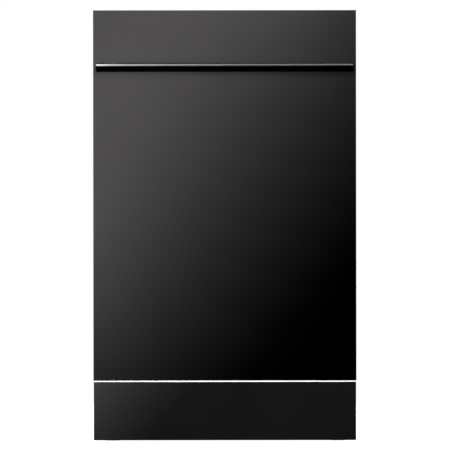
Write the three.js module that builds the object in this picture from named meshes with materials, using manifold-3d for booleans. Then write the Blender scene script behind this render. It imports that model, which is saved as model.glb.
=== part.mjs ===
// Built-in dishwasher, 55 cm kitchen norm, black door with a full-width lip handle.
// Millimetres, +Z up, front faces -Y, floor at Z = 0, centred on X = 0 and Y = 0.
import * as THREE from "three";
import { mergeVertices } from "three/addons/utils/BufferGeometryUtils.js";
import Module from "manifold-3d";

const wasm = await Module();
wasm.setup();

// ---------- driving dimensions ----------
const FRONT_HALF = 273.3; // the front is 546.6 wide
const DOOR_FRONT = -275;
const DOOR_BOTTOM = 126.2;
const DOOR_TOP = 896;
const PAN_BACK = -263; // back edge of the door's front pan
const LINER_HALF = 252;
const LINER_FACE = -225; // the door's inner face, towards the tub
const LINER_BOTTOM = 140;
const LINER_TOP = 882;
const HINGE_Y = -255;
const HINGE_Z = 146;
const HANDLE = { half: 266.5, front: -300, top: 784.3, nose: 782.2, edge: 779.9, bottom: 768.1, trim: 0.8 };
const TOE_KICK = { front: -235, bottom: 1.4, top: 122.8 };
const TUB_HALF = 240;
const TUB_FRONT = -220.5;
const TUB_REAR = 235;
const TUB_FLOOR = 177.7;
const TUB_TOP = 846;
const SHEET = 1.2;
const SIDE_X = 269.8;
const CARCASS_BACK = 285.2;
const SUMP = { x: 70, y: -60 };
const SALT = { x: -150, y: -60 };
const SPRAY = { x: 0, y: 30 };
const RACK_HALF = 222;
const RACK_FRONT = -205;
const RACK_BACK = 205;
const DISPENSER = { half: 95, low: 480, high: 640 };
const CUP = { x0: -80, x1: 0, z0: 500, z1: 600 };
const CAP_AT = { x: 45, z: 622 };
const BUTTONS = { power_button: -200, program_button: 150, start_button: 200 };

// ---------- shape helpers ----------
function solid(geometry) {
  geometry.deleteAttribute("normal");
  geometry.deleteAttribute("uv");
  const merged = mergeVertices(geometry, 1e-4);
  return new wasm.Manifold(new wasm.Mesh({
    numProp: 3,
    vertProperties: Float32Array.from(merged.attributes.position.array),
    triVerts: Uint32Array.from(merged.index.array),
  }));
}

function box(x0, x1, y0, y1, z0, z1) {
  const geometry = new THREE.BoxGeometry(x1 - x0, y1 - y0, z1 - z0);
  geometry.translate((x0 + x1) / 2, (y0 + y1) / 2, (z0 + z1) / 2);
  return solid(geometry);
}

// A cylinder along one axis from a to b. p and q are its centre in the other two axes, in order.
function rod(axis, radius, a, b, p, q, sides = 20) {
  const geometry = new THREE.CylinderGeometry(radius, radius, b - a, sides);
  const middle = (a + b) / 2;
  if (axis === "x") {
    geometry.rotateZ(Math.PI / 2);
    geometry.translate(middle, p, q);
  } else if (axis === "y") {
    geometry.translate(p, middle, q);
  } else {
    geometry.rotateX(Math.PI / 2);
    geometry.translate(p, q, middle);
  }
  return solid(geometry);
}

// A Y-Z outline drawn out along X.
function profileX(points, x0, x1) {
  const shape = new THREE.Shape(points.map(([y, z]) => new THREE.Vector2(y, z)));
  const geometry = new THREE.ExtrudeGeometry(shape, { depth: x1 - x0, bevelEnabled: false });
  geometry.applyMatrix4(new THREE.Matrix4().set(0, 0, 1, x0, 1, 0, 0, 0, 0, 1, 0, 0, 0, 0, 0, 1));
  return solid(geometry);
}

// An X-Y outline drawn out along Z.
function profileZ(points, z0, z1) {
  const shape = new THREE.Shape(points.map(([x, y]) => new THREE.Vector2(x, y)));
  const geometry = new THREE.ExtrudeGeometry(shape, { depth: z1 - z0, bevelEnabled: false });
  geometry.translate(0, 0, z0);
  return solid(geometry);
}

const join = (parts) => parts.reduce((whole, part) => whole.add(part));
const cut = (whole, parts) => parts.reduce((rest, part) => rest.subtract(part), whole);

// ---------- materials ----------
const paint = (color, roughness, metalness) =>
  new THREE.MeshStandardMaterial({ color, roughness, metalness });
const MATERIALS = {
  black_front: paint(0x101011, 0.4, 0.0),
  satin_trim: paint(0xc9c9c6, 0.3, 1.0),
  stainless: paint(0xb9bbbc, 0.35, 1.0),
  galvanised: paint(0x9da1a3, 0.5, 1.0),
  steel: paint(0x8d9093, 0.4, 1.0),
  black_plastic: paint(0x17181a, 0.6, 0.0),
  grey_plastic: paint(0x7c8288, 0.55, 0.0),
  white_plastic: paint(0xeceeee, 0.5, 0.0),
  rack_wire: paint(0xa9adb1, 0.4, 0.2),
  rubber: paint(0x2a2b2c, 0.8, 0.0),
  bitumen: paint(0x26241f, 0.9, 0.0),
};

const object = new THREE.Group();
object.name = "built_in_dishwasher";

function place(name, material, shape) {
  const mesh = shape.getMesh();
  const geometry = new THREE.BufferGeometry();
  geometry.setAttribute("position", new THREE.BufferAttribute(new Float32Array(mesh.vertProperties), 3));
  geometry.setIndex(new THREE.BufferAttribute(new Uint32Array(mesh.triVerts), 1));
  geometry.computeVertexNormals();
  const part = new THREE.Mesh(geometry, MATERIALS[material]);
  part.name = name;
  object.add(part);
}

const SIDES = [["left", -1], ["right", 1]];

// A box given by its distance from the middle, on the left (-1) or right (+1) side.
function sideBox(side, near, far, y0, y1, z0, z1) {
  return side < 0 ? box(-far, -near, y0, y1, z0, z1) : box(near, far, y0, y1, z0, z1);
}

function sideRod(side, radius, near, far, y, z, sides) {
  return side < 0 ? rod("x", radius, -far, -near, y, z, sides) : rod("x", radius, near, far, y, z, sides);
}

// ---------- base, feet and casing ----------
const FEET = {
  front_left: [-235, -180],
  front_right: [235, -180],
  rear_left: [-235, 250],
  rear_right: [235, 250],
};

function baseTray() {
  let tray = cut(box(-267, 267, -213, 283, 24, 70), [box(-264, 264, -210, 280, 27, 71)]);
  const bosses = Object.values(FEET).map(([x, y]) => rod("z", 11, 26, 62, x, y, 12));
  const bores = Object.values(FEET).map(([x, y]) => rod("z", 6.5, 20, 63, x, y, 12));
  const arms = [-150, 150].map((x) => box(x - 14, x + 14, -230.7, -212, 40, 60));
  tray = join([tray, ...bosses, ...arms]);
  return cut(tray, bores);
}

function foot([x, y]) {
  return join([rod("z", 18, 0, 8, x, y, 24), rod("z", 5.5, 7, 60, x, y, 12)]);
}

function sidePanel(side) {
  const skin = sideBox(side, SIDE_X, SIDE_X + SHEET, -219, CARCASS_BACK, 24, 884);
  const beads = [-140, 0, 140].map((y) => sideBox(side, SIDE_X + 0.6, SIDE_X + 2.4, y - 9, y + 33, 220, 780));
  return join([skin, ...beads]);
}

function rearPanel() {
  const skin = box(-268, 268, 284, CARCASS_BACK, 72, 872);
  return cut(skin, [rod("y", 14.5, 280, 290, -210, 110), rod("y", 12.5, 280, 290, -150, 110)]);
}

function topPlate() {
  const skin = box(-268, 268, -219, 283.6, 872.6, 873.8);
  const tabs = [-215, 215].flatMap((x) => [
    box(x - 16, x + 16, -212, -210.5, 873, 894.8),
    box(x - 16, x + 16, -212, -186, 893.3, 894.8),
  ]);
  const holes = [-215, 215].map((x) => rod("z", 2.6, 890, 897, x, -196, 12));
  const latchNotch = box(-14, 14, -220, -200, 870, 876);
  return cut(join([skin, ...tabs]), [...holes, latchNotch]);
}

// ---------- tub ----------
function tubWrapper() {
  const half = TUB_HALF + SHEET;
  const outer = box(-half, half, TUB_FRONT, TUB_REAR, TUB_FLOOR - SHEET, TUB_TOP + SHEET);
  const hollow = box(-TUB_HALF, TUB_HALF, TUB_FRONT - 1, TUB_REAR + 1, TUB_FLOOR - 3, TUB_TOP);
  const trayLedges = SIDES.map(([, side]) => sideBox(side, 229, TUB_HALF + 0.5, -215, 215, 768, 772));
  return join([cut(outer, [hollow]), ...trayLedges]);
}

function tubBack() {
  const half = TUB_HALF + SHEET;
  return box(-half, half, TUB_REAR + 0.3, TUB_REAR + 1.5, TUB_FLOOR - SHEET, TUB_TOP + SHEET);
}

// The floor carries the post that the lower spray arm turns on.
function tubFloor() {
  const plate = box(-239.7, 239.7, TUB_FRONT, TUB_REAR - 0.3, TUB_FLOOR - SHEET, TUB_FLOOR);
  const holes = [
    rod("z", 58, 170, 180, SUMP.x, SUMP.y, 40),
    rod("z", 35, 170, 180, SALT.x, SALT.y, 28),
  ];
  const post = join([
    rod("z", 16, TUB_FLOOR - 1, 199, SPRAY.x, SPRAY.y),
    rod("z", 6, 198, 217, SPRAY.x, SPRAY.y, 16),
  ]);
  return join([cut(plate, holes), post]);
}

function tubFrontFrame() {
  const plate = box(-268, 268, -222, -220.8, 160, 884);
  const opening = box(-239.5, 239.5, -223, -220, 178.5, 845.5);
  const corners = SIDES.map(([, side]) => sideBox(side, 250, 269, -223, -220, 159, 190));
  return cut(plate, [opening, ...corners, box(-11, 11, -223, -220, 856, 881.5)]);
}

const doorSeal = () =>
  cut(box(-249, 249, -224.7, -222.3, 166, 855), [box(-241, 241, -226, -221, 174, 847)]);

// ---------- wash system ----------
function sump() {
  const bowl = join([
    rod("z", 57.4, 100, 177, SUMP.x, SUMP.y, 32),
    rod("z", 68, 170, 176.1, SUMP.x, SUMP.y, 32),
  ]);
  return cut(bowl, [rod("z", 53, 104, 178, SUMP.x, SUMP.y, 32)]);
}

const flatFilter = () =>
  cut(rod("z", 74, 178, 179.4, SUMP.x, SUMP.y, 40), [rod("z", 35, 177, 181, SUMP.x, SUMP.y, 28)]);

function filterCylinder() {
  const upright = (radius, low, high) => rod("z", radius, low, high, SUMP.x, SUMP.y, 28);
  const cup = cut(upright(32, 112, 186), [upright(29.5, 114.5, 187)]);
  const rim = cut(upright(38, 181, 186), [upright(29.5, 180, 187)]);
  const grip = box(SUMP.x - 31, SUMP.x + 31, SUMP.y - 3, SUMP.y + 3, 183, 194);
  return join([cup, rim, grip]);
}

function circulationPump() {
  return join([
    rod("x", 42, 60, 150, 72, 82, 24),
    rod("x", 30, 149, 200, 72, 82, 24),
    rod("z", 14, 82, 138, 84, 72, 16),
  ]);
}

function waterSoftener() {
  return join([box(-250, -92, -130, 60, 76, 164), rod("z", 33, 163, 177.4, SALT.x, SALT.y, 28)]);
}

const saltCap = () =>
  join([
    rod("z", 38, 178, 187, SALT.x, SALT.y, 28),
    box(SALT.x - 26, SALT.x + 26, SALT.y - 4, SALT.y + 4, 186, 194),
  ]);

function inletValve() {
  return join([box(-232, -188, 235, 281, 92, 132), rod("y", 13, 280, 300, -210, 110)]);
}

function drainSpigot() {
  const body = join([box(-168, -134, 240, 281, 95, 128), rod("y", 10.5, 280, 300, -150, 110)]);
  return cut(body, [rod("y", 7.5, 270, 301, -150, 110)]);
}

// ---------- toe kick ----------
function toeKickPanel() {
  const { front, bottom, top } = TOE_KICK;
  const outer = box(-FRONT_HALF, FRONT_HALF, front, front + 4, bottom, top);
  const inner = FRONT_HALF - 1.5;
  return cut(outer, [box(-inner, inner, front + 1.5, front + 5, bottom + 1.5, top - 1.5)]);
}

function toeKickSeal() {
  const { front, top } = TOE_KICK;
  return box(-272.3, 272.3, front + 0.2, front + 3.8, top + 0.1, DOOR_BOTTOM - 0.3);
}

// ---------- hinges ----------
function hingeBracket(side) {
  const outline = [[-262, 142], [-258.5, 139], [-251.5, 139], [-247.5, 142], [-230, 142], [-230, 30],
    [-213.4, 30], [-213.4, 150], [-219, 156], [-256, 156], [-262, 151]];
  const plate = side < 0 ? profileX(outline, -267.5, -264) : profileX(outline, 264, 267.5);
  return join([plate, sideRod(side, 4, 253, 265, HINGE_Y, HINGE_Z, 16)]);
}

function hingeArm(side) {
  const outline = [[-262, 143], [-259, 139], [-252, 138], [-231, 129], [-227.5, 124], [-223, 126],
    [-223.5, 132], [-240, 146], [-241, 340], [-262, 340]];
  const plate = side < 0 ? profileX(outline, -258, -255) : profileX(outline, 255, 258);
  return cut(plate, [sideRod(side, 4.4, 250, 260, HINGE_Y, HINGE_Z, 16)]);
}

const doorSpring = (side) => rod("z", 3.6, 32, 121.5, side * 256.5, -225.5, 12);

// ---------- door ----------
function doorFrontPanel() {
  const inner = FRONT_HALF - SHEET;
  const outer = box(-FRONT_HALF, FRONT_HALF, DOOR_FRONT, PAN_BACK, DOOR_BOTTOM, DOOR_TOP);
  const hollow = box(-inner, inner, DOOR_FRONT + SHEET, PAN_BACK + 1, DOOR_BOTTOM + SHEET, DOOR_TOP - SHEET);
  return cut(outer, [hollow]);
}

const doorInsulation = () => box(-262, 262, -273.4, -263.6, 165, 878);

function doorInnerLiner() {
  const inner = LINER_HALF - SHEET;
  const outer = box(-LINER_HALF, LINER_HALF, -262.6, LINER_FACE, LINER_BOTTOM, LINER_TOP);
  const hollow = box(-inner, inner, -264, LINER_FACE - SHEET, LINER_BOTTOM + SHEET, LINER_TOP - SHEET);
  const dispenserHole = box(-87, 87, -230, -220, 489, 631);
  return cut(outer, [hollow, dispenserHole, box(-9, 9, -230, -220, 858, 880.8)]);
}

// Inverted channel: back flange on the door, top falling to the front, lip leaning back, open below.
function handleBar() {
  const { half, front, top, nose, edge, bottom, trim } = HANDLE;
  const under = trim + 0.2;
  const outline = [[DOOR_FRONT - 0.2, top + 1.6], [-276.2, top + 1.6], [-276.2, top - under],
    [front + under + 0.6, nose - under], [front + under + 0.2, edge - 0.2], [front, edge - 0.2],
    [front, edge - 3], [front + 1.4, bottom], [front + 4.2, bottom], [front + 3.2, edge - 4],
    [-278.2, top - 5.2], [-278.2, bottom], [DOOR_FRONT - 0.2, bottom]];
  const ends = SIDES.map(([, side]) => {
    const cheek = [[DOOR_FRONT - 0.2, top - 2], [-298, nose - 2], [front, edge - 1], [front, edge - 3],
      [front + 1.4, bottom], [DOOR_FRONT - 0.2, bottom]];
    return side < 0 ? profileX(cheek, -half, 2.5 - half) : profileX(cheek, half - 2.5, half);
  });
  return join([profileX(outline, -half, half), ...ends]);
}

// Bright strip lying on the handle's sloping top and turned down over its nose.
function handleTrim() {
  const { half, front, top, nose, edge, trim } = HANDLE;
  const outline = [[-276.4, top - trim], [-276.4, top], [front + 0.8, nose], [front + 0.3, nose - 0.4],
    [front, edge], [front + trim, edge], [front + trim + 0.4, nose - trim]];
  return profileX(outline, -half, half);
}

function controlStrip() {
  const outer = box(-LINER_HALF, LINER_HALF, -262.6, LINER_FACE, 882.4, 895.6);
  const hollow = box(2 - LINER_HALF, LINER_HALF - 2, -260.6, LINER_FACE - 2, 881, 893.4);
  const holes = Object.values(BUTTONS).map((x) => box(x - 9.4, x + 9.4, -250.4, -237.6, 890, 897));
  return cut(outer, [hollow, ...holes]);
}

const button = (x) => box(x - 9, x + 9, -250, -238, 886, 895.9);

function dispenserBody() {
  const { half, low, high } = DISPENSER;
  const block = join([
    box(-half, half, -224.7, -222.6, low, high),
    box(-86.5, 86.5, -256, -224, 489.5, 630.5),
  ]);
  return cut(block, [
    box(CUP.x0, CUP.x1, -247, -222, CUP.z0, CUP.z1),
    rod("y", 9, -245, -222, CAP_AT.x, CAP_AT.z),
  ]);
}

const detergentLid = () =>
  join([
    box(CUP.x0 - 4, CUP.x1 + 4, -222.3, -220.3, CUP.z0 - 4, CUP.z1 + 4),
    box(CUP.x1 - 8, CUP.x1, -220.5, -216, 520, 580),
  ]);

const rinseAidCap = () =>
  join([
    rod("y", 11, -222.3, -219, CAP_AT.x, CAP_AT.z),
    box(CAP_AT.x - 8, CAP_AT.x + 8, -220, -214, CAP_AT.z - 2, CAP_AT.z + 2),
  ]);

// The hook turns up to let go of the slot in the tub's front frame.
function latchHook() {
  const tongue = [[-229, 861], [-211, 861], [-208, 864], [-208, 868], [-211.5, 872], [-214, 872],
    [-214, 869], [-215.5, 868], [-229, 868]];
  return join([box(-8, 8, -256, -228, 860, 872), profileX(tongue, -6, 6)]);
}

// ---------- racks ----------
// An open basket with windows in its floor and four sides.
function basket(half, front, back, low, high, windows) {
  const wall = 5;
  const hollow = box(wall - half, half - wall, front + wall, back - wall, low + wall, high + 1);
  const shell = cut(box(-half, half, front, back, low, high), [hollow]);
  const holes = [];
  const stepX = (2 * half - 2 * wall) / windows;
  const stepY = (back - front - 2 * wall) / windows;
  for (let i = 0; i < windows; i += 1) {
    const x0 = wall - half + i * stepX + 3;
    const y0 = front + wall + i * stepY + 3;
    holes.push(box(x0, x0 + stepX - 6, front - 1, back + 1, low + 12, high - 8));
    holes.push(box(-half - 1, half + 1, y0, y0 + stepY - 6, low + 12, high - 8));
    for (let j = 0; j < windows; j += 1) {
      const y1 = front + wall + j * stepY + 3;
      holes.push(box(x0, x0 + stepX - 6, y1, y1 + stepY - 6, low - 1, low + wall + 1));
    }
  }
  return cut(shell, holes);
}

function upperRack() {
  const near = RACK_HALF - 1;
  const runners = SIDES.map(([, side]) => sideBox(side, near, 229.6, RACK_FRONT, RACK_BACK, 563, 583));
  const hub = join([
    box(-RACK_HALF + 3, RACK_HALF - 3, SPRAY.y - 10, SPRAY.y + 10, 505, 510),
    rod("z", 12, 492, 506, SPRAY.x, SPRAY.y, 16),
    rod("z", 5.5, 474, 493, SPRAY.x, SPRAY.y, 16),
  ]);
  return join([basket(RACK_HALF, RACK_FRONT, RACK_BACK, 505, 625, 4), ...runners, hub]);
}

function cupShelf() {
  const windows = [-120, -40, 40, 120].map((y) => box(-212, -140, y - 34, y + 34, 631, 637));
  return cut(box(-221, -132, -180, 180, 632, 636), windows);
}

function cutleryDividers() {
  return [-145, 0, 145].map((x) => box(x - 2.5, x + 2.5, RACK_FRONT + 4, 196, 780, 806));
}

function cutleryTray() {
  const inner = RACK_HALF - 4;
  const hollow = box(-inner, inner, RACK_FRONT + 4, 196, 780, 819);
  const shell = cut(box(-RACK_HALF, RACK_HALF, RACK_FRONT, 200, 776, 818), [hollow]);
  const lips = SIDES.map(([, side]) => sideBox(side, RACK_HALF - 1, 236, RACK_FRONT, 200, 776, 781));
  return join([shell, ...lips, ...cutleryDividers()]);
}

const WHEELS = [
  ["front_left", -1, -100],
  ["front_right", 1, -100],
  ["rear_left", -1, 100],
  ["rear_right", 1, 100],
];
const WHEEL_Z = 192.4;

function lowerRack() {
  const legs = WHEELS.flatMap(([, side, y]) => [
    sideBox(side, 213, 220, y - 6, y + 6, 186, 238),
    sideRod(side, 3.6, 219, 233, y, WHEEL_Z, 12),
  ]);
  return join([basket(RACK_HALF, RACK_FRONT, RACK_BACK, 235, 350, 4), ...legs]);
}

const rackWheel = (side, y) =>
  cut(sideRod(side, 14, 222, 231, y, WHEEL_Z, 24), [sideRod(side, 4.2, 221, 232, y, WHEEL_Z, 12)]);

function tineRow() {
  const prongs = [-195, -160, -125, -90, -55, -20].map((x) => box(x - 2, x + 2, 58, 62, 246, 325));
  return join([box(-200, -10, 57.5, 62.5, 242.5, 247.5), ...prongs]);
}

function railChannel(side) {
  const groove = sideBox(side, 233, 236.3, -217, 216, 563.6, 582.4);
  return cut(sideBox(side, 234, 239.6, -215, 214, 560, 586), [groove]);
}

const railSlider = (side) => sideBox(side, 230, 236, -212, 205, 564, 582);

// ---------- spray arms ----------
function sprayArm(at, reach, width, low, high, bore) {
  const half = width / 2;
  const outline = [[-reach, 8], [-reach + 14, half], [-25, half + 3], [25, half + 3], [reach - 14, half],
    [reach, 8], [reach, -8], [reach - 14, -half], [25, -half - 3], [-25, -half - 3], [-reach + 14, -half],
    [-reach, -8]];
  const blade = profileZ(outline, low, high).translate([at.x, at.y, 0]);
  return cut(blade, [rod("z", bore, low - 1, high + 1, at.x, at.y, 16)]);
}

function sprayFeedTube() {
  return join([
    box(-15, 15, 224, 234.6, 195, 845),
    box(-11, 11, SPRAY.y - 12, 233, 838, 845),
    rod("z", 4, 821.5, 839, SPRAY.x, SPRAY.y, 12),
  ]);
}

// ---------- assembly ----------
place("base_tray", "black_plastic", baseTray());
for (const [corner, at] of Object.entries(FEET)) place(`foot_${corner}`, "grey_plastic", foot(at));
place("rear_panel", "galvanised", rearPanel());
place("top_plate", "galvanised", topPlate());
place("tub_wrapper", "stainless", tubWrapper());
place("tub_back", "stainless", tubBack());
place("tub_floor", "stainless", tubFloor());
place("tub_front_frame", "stainless", tubFrontFrame());
place("door_seal", "rubber", doorSeal());
place("sump", "black_plastic", sump());
place("flat_filter", "stainless", flatFilter());
place("filter_cylinder", "grey_plastic", filterCylinder());
place("circulation_pump", "black_plastic", circulationPump());
place("water_softener", "white_plastic", waterSoftener());
place("salt_cap", "white_plastic", saltCap());
place("inlet_valve", "white_plastic", inletValve());
place("drain_spigot", "black_plastic", drainSpigot());
place("toe_kick_panel", "black_front", toeKickPanel());
place("toe_kick_seal", "white_plastic", toeKickSeal());
place("spray_feed_tube", "grey_plastic", sprayFeedTube());
place("door_front_panel", "black_front", doorFrontPanel());
place("door_insulation", "bitumen", doorInsulation());
place("door_inner_liner", "stainless", doorInnerLiner());
place("handle_bar", "black_front", handleBar());
place("handle_trim", "satin_trim", handleTrim());
place("control_strip", "black_plastic", controlStrip());
for (const [name, x] of Object.entries(BUTTONS)) place(name, "grey_plastic", button(x));
place("dispenser_body", "grey_plastic", dispenserBody());
place("detergent_lid", "grey_plastic", detergentLid());
place("rinse_aid_cap", "white_plastic", rinseAidCap());
place("latch_hook", "steel", latchHook());
place("upper_rack", "rack_wire", upperRack());
place("cup_shelf", "grey_plastic", cupShelf());
place("cutlery_tray", "rack_wire", cutleryTray());
place("lower_rack", "rack_wire", lowerRack());
place("tine_row", "rack_wire", tineRow());
place("lower_spray_arm", "grey_plastic", sprayArm(SPRAY, 188, 40, 200, 212, 6.6));
place("middle_spray_arm", "grey_plastic", sprayArm(SPRAY, 190, 36, 476, 488, 6.2));
place("top_spray_arm", "grey_plastic", sprayArm(SPRAY, 95, 30, 823, 831, 4.6));
for (const [corner, side, y] of WHEELS) place(`wheel_${corner}`, "grey_plastic", rackWheel(side, y));
for (const [word, side] of SIDES) {
  place(`side_panel_${word}`, "galvanised", sidePanel(side));
  place(`hinge_bracket_${word}`, "steel", hingeBracket(side));
  place(`hinge_arm_${word}`, "steel", hingeArm(side));
  place(`door_spring_${word}`, "steel", doorSpring(side));
  place(`rail_channel_${word}`, "stainless", railChannel(side));
  place(`rail_slider_${word}`, "stainless", railSlider(side));
}

export default object;
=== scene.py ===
"""Looks of the built-in dishwasher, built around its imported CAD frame. Metres, +Z up, front faces -Y."""

import math

import bmesh
import bpy
from mathutils import Matrix, Vector


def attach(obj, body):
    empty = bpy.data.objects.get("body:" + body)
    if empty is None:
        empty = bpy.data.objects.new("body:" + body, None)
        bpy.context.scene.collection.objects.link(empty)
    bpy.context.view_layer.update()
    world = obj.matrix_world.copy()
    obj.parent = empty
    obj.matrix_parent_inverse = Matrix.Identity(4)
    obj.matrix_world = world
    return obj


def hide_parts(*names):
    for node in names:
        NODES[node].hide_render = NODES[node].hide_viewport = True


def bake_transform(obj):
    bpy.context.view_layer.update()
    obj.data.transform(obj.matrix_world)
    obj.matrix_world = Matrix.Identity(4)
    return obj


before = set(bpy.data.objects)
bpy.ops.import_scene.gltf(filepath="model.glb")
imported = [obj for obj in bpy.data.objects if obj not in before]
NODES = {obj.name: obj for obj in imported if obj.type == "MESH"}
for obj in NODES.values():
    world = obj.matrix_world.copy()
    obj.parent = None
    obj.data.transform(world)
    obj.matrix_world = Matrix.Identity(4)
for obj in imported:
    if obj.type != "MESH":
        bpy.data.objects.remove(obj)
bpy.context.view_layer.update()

# ---------- camera ----------
CAMERA_AT = (0.0005, -18.468, 0.44963)
CAMERA_ROLL = math.radians(0.07)
LENS = 700.3
SENSOR = 36


def make_camera():
    data = bpy.data.cameras.new("camera")
    data.lens = LENS
    data.sensor_width = SENSOR
    data.clip_end = 100
    camera = bpy.data.objects.new("camera", data)
    camera.location = CAMERA_AT
    camera.rotation_euler = (math.pi / 2, CAMERA_ROLL, 0)
    bpy.context.scene.collection.objects.link(camera)
    bpy.context.scene.camera = camera


# ---------- lights and stage ----------
def area_light(name, at, aim, size, power, color=(1, 1, 1)):
    data = bpy.data.lights.new(name, "AREA")
    data.shape = "RECTANGLE"
    data.size, data.size_y = size
    data.energy = power
    data.color = color
    light = bpy.data.objects.new(name, data)
    light.location = at
    direction = Vector(aim) - Vector(at)
    light.rotation_euler = direction.to_track_quat("-Z", "Y").to_euler()
    light.visible_camera = False
    bpy.context.scene.collection.objects.link(light)
    return light


FRONT_FACES = ["door_front_panel", "handle_bar", "handle_trim", "toe_kick_panel", "toe_kick_seal"]


def linked(name, nodes, state="INCLUDE"):
    """A light-linking collection that takes in, or leaves out, these CAD nodes."""
    group = bpy.data.collections.new(name)
    for node in nodes:
        group.objects.link(NODES[node])
    for item in group.collection_objects:
        item.light_linking.link_state = state
    return group


def make_lights():
    rosy = (1, 0.958, 0.98)
    strip_place = (-0.238, -1.013, 0.628), (-1.0, -0.275, 1.275)
    top_place = (0.126, -0.955, 1.086), (-0.802, -0.275, 1.5)
    keys = [
        area_light("key_strip", *strip_place, (0.1, 1.009), 5.4, rosy),
        area_light("key_top", *top_place, (0.488, 0.3), 1.69, rosy),
        area_light("key_top_soft", *top_place, (0.488, 0.1), 1.38, rosy),
    ]
    details = ["toe_kick_panel", "toe_kick_seal", "handle_trim"]
    for key in keys:
        key.light_linking.receiver_collection = linked(key.name + "_spares", details, "EXCLUDE")
    top_soft = keys[-1]
    no_handle = linked("handle_casts_none", ["handle_bar", "handle_trim"], "EXCLUDE")
    top_soft.light_linking.blocker_collection = no_handle

    # Each of these lights one node and passes through all the others.
    accents = [
        ("seam", (0, -0.6, 0.124), (0, -0.23, 0.124), (1.1, 0.05), 4.15, "toe_kick_seal"),
        ("trim_above", (0, -0.27, 1.6), (0, -0.27, 0.78), (2.2, 0.05), 3.2, "handle_trim"),
        ("trim_end", (-0.345, -0.327, 0.844), (-0.408, -0.213, 0.782), (0.023, 0.053), 0.66, "handle_trim"),
        ("trim_left", (-0.502, -0.518, 1.053), (-0.68, -0.19, 0.078), (0.242, 0.223), 2.45, "handle_trim"),
        ("kick_front", (0, -0.9, 0.1), (0, -0.23, 0.07), (1.4, 0.3), 0.58, "toe_kick_panel"),
        ("kick_left", (-0.66, -0.711, 0.654), (-0.861, -0.258, 0.83), (0.044, 0.6), 53, "toe_kick_panel"),
    ]
    for name, at, aim, size, power, node in accents:
        light = area_light(name, at, aim, size, power)
        light.light_linking.receiver_collection = linked(name + "_only", [node])
        light.light_linking.blocker_collection = linked(name + "_blockers", [node])

    area_light("side_left", (-2.8, 1.1, 1.5), (0, 0.1, 0.45), (1.6, 1.6), 46)
    area_light("side_right", (2.8, 1.1, 1.5), (0, 0.1, 0.45), (1.6, 1.6), 40)
    area_light("back", (0.7, 3.2, 1.7), (0, 0.2, 0.45), (1.8, 1.6), 22)
    area_light("overhead", (0, 0.8, 3.0), (0, 0.1, 0.5), (1.6, 1.2), 14)
    for name, at, power in (("opening_left", (-1.6, -2.9, 1.3), 74), ("opening_right", (2.0, -2.4, 1.2), 44)):
        opening = area_light(name, at, (0, -0.2, 0.45), (3.2, 2.2), power)
        opening.light_linking.receiver_collection = linked(name + "_spares", FRONT_FACES, "EXCLUDE")


def set_inputs(node, **values):
    """Sets a node's inputs by name, with _ for each space."""
    for name, value in values.items():
        node.inputs[name.replace("_", " ")].default_value = value
    return node


def add_node(tree, kind, **values):
    """A new shader node with some of its inputs set."""
    return set_inputs(tree.nodes.new("ShaderNode" + kind), **values)


def make_world():
    """White to the camera; to the object, dark in front and softly bright behind."""
    world = bpy.data.worlds.new("studio")
    bpy.context.scene.world = world
    world.use_nodes = True
    tree = world.node_tree
    link = tree.links.new
    tree.nodes.clear()
    kinds = ("OutputWorld", "MixShader", "LightPath", "TexCoord", "SeparateXYZ")
    out, mix, path, coords, split = [add_node(tree, kind) for kind in kinds]
    white = add_node(tree, "Background", Color=(1, 1, 1, 1))
    soft = add_node(tree, "Background", Strength=1.0)
    ramp = add_node(tree, "MapRange", From_Min=0.05, From_Max=0.8, To_Min=0.0, To_Max=0.4)
    ramp.interpolation_type = "SMOOTHSTEP"
    link(coords.outputs["Generated"], split.inputs[0])
    link(split.outputs["Y"], ramp.inputs["Value"])
    link(ramp.outputs["Result"], soft.inputs["Color"])
    link(path.outputs["Is Camera Ray"], mix.inputs["Fac"])
    link(soft.outputs[0], mix.inputs[1])
    link(white.outputs[0], mix.inputs[2])
    link(mix.outputs[0], out.inputs["Surface"])


def make_floor():
    mesh = bpy.data.meshes.new("floor")
    half = 12
    corners = [(-half, -half, 0), (half, -half, 0), (half, half, 0), (-half, half, 0)]
    mesh.from_pydata(corners, [], [(0, 1, 2, 3)])
    floor = bpy.data.objects.new("floor", mesh)
    bpy.context.scene.collection.objects.link(floor)
    shader = principled("floor", (0.8, 0.8, 0.8), 0.9)
    set_inputs(shader, Emission_Color=(1, 1, 1, 1), Emission_Strength=0.97)
    mesh.materials.append(MATERIALS["floor"])
    floor.visible_diffuse = False
    floor.visible_glossy = False


# ---------- materials ----------
MATERIALS = {}


def principled(name, color, roughness, metallic=0.0, specular=0.5):
    """Makes a material, keeps it in MATERIALS under this name and returns its shader."""
    material = bpy.data.materials.new(name)
    material.use_nodes = True
    MATERIALS[name] = material
    shader = material.node_tree.nodes["Principled BSDF"]
    set_inputs(shader, Base_Color=(*color, 1), Roughness=roughness)
    set_inputs(shader, Metallic=metallic, Specular_IOR_Level=specular)
    return shader


def noise(shader, scale, detail=4, stretch=(1, 1, 1)):
    """Noise in object space, stretched by a factor on each axis."""
    tree = shader.id_data
    coords = add_node(tree, "TexCoord")
    mapping = add_node(tree, "Mapping", Scale=stretch)
    texture = add_node(tree, "TexNoise", Scale=scale, Detail=detail)
    tree.links.new(coords.outputs["Object"], mapping.inputs["Vector"])
    tree.links.new(mapping.outputs[0], texture.inputs["Vector"])
    return texture.outputs["Fac"]


def vary(shader, source, low, high):
    """The source, from 0.3 to 0.7, drives the roughness from low to high."""
    tree = shader.id_data
    span = add_node(tree, "MapRange", From_Min=0.3, From_Max=0.7, To_Min=low, To_Max=high)
    tree.links.new(source, span.inputs["Value"])
    tree.links.new(span.outputs["Result"], shader.inputs["Roughness"])


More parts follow.
